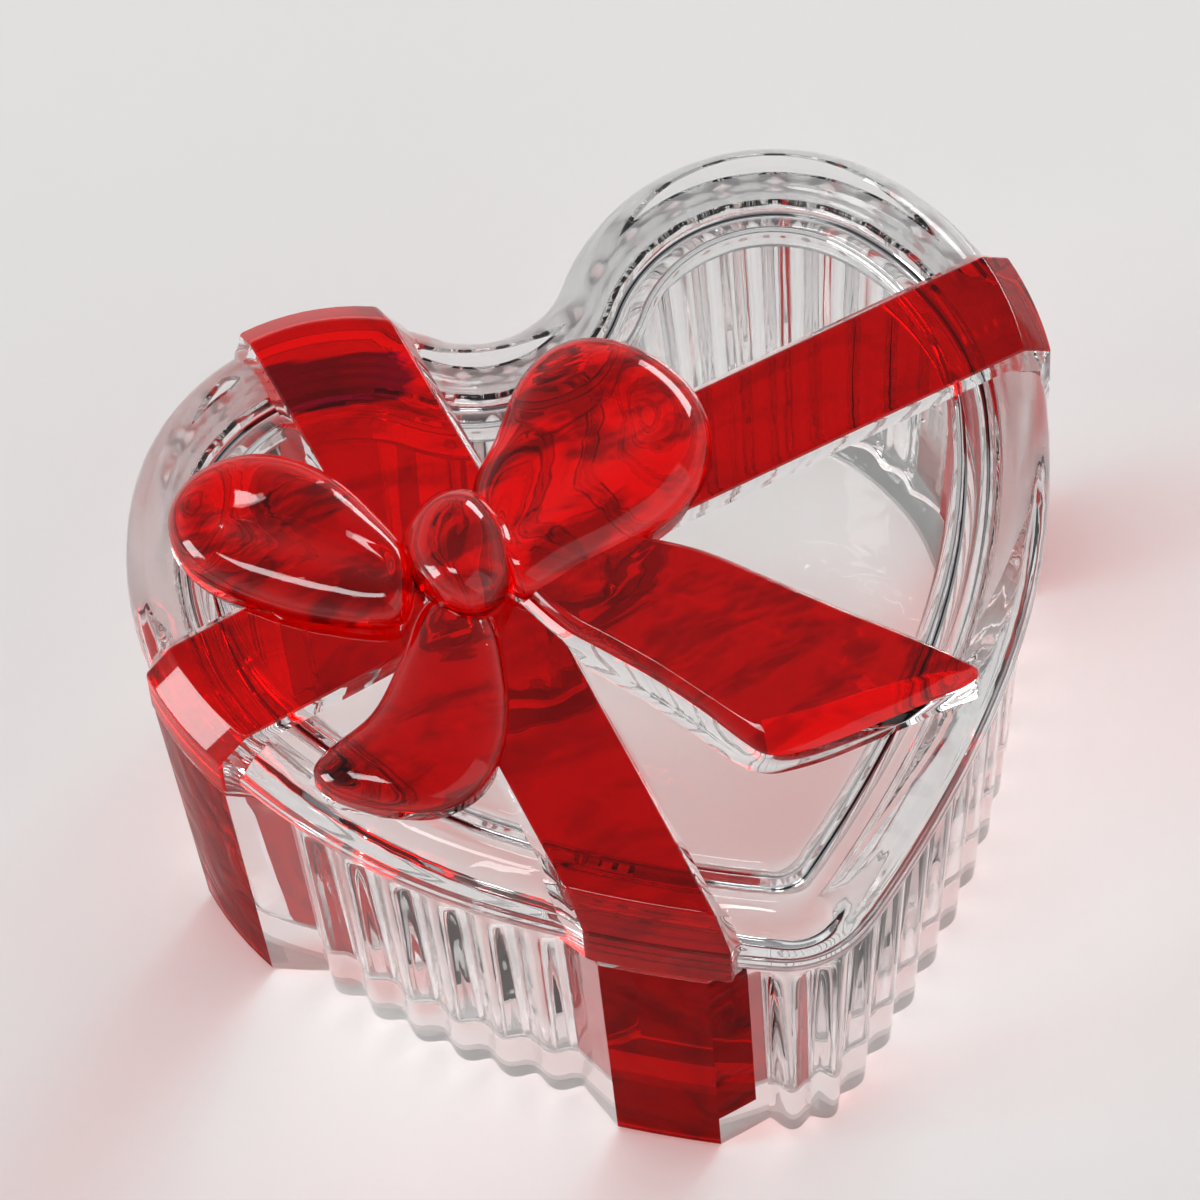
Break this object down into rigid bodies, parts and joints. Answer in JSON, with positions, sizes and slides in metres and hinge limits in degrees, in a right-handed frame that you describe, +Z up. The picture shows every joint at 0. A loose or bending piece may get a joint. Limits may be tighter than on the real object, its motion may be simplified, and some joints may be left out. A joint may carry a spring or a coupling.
{
  "type": "heart candy jar",
  "caption": "Heart-shaped pressed glass candy jar with fluted walls and a lift-off lid, wrapped in a raised red ribbon and bow.",
  "frame": {"origin": "middle of the whole jar's box, on the surface it stands on", "axes": "+Z up, the heart's tip towards -Y, +X to the right seen from the tip"},
  "size_m": [0.1268, 0.1122, 0.084],
  "materials": {
    "clear_glass": "fire-polished clear glass",
    "red_glass": "glossy see-through red stain on glass"
  },
  "bodies": {
    "jar": {"jar_body": "clear_glass", "jar_ribbon_right": "red_glass", "jar_ribbon_back": "red_glass", "jar_ribbon_left": "red_glass", "jar_ribbon_front": "red_glass"},
    "lid": {"lid_plate": "clear_glass", "lid_ribbon_right": "red_glass", "lid_ribbon_back": "red_glass", "lid_ribbon_left": "red_glass", "lid_ribbon_front": "red_glass", "bow_knot": "red_glass", "bow_loop_right": "red_glass", "bow_loop_left": "red_glass", "bow_tail_right": "red_glass", "bow_tail_left": "red_glass"}
  },
  "joints": [
    {"name": "lid_lift", "type": "slide", "parent": "jar", "child": "lid", "axis": [0, 0, 1], "range_m": [0, 0.06]}
  ]
}
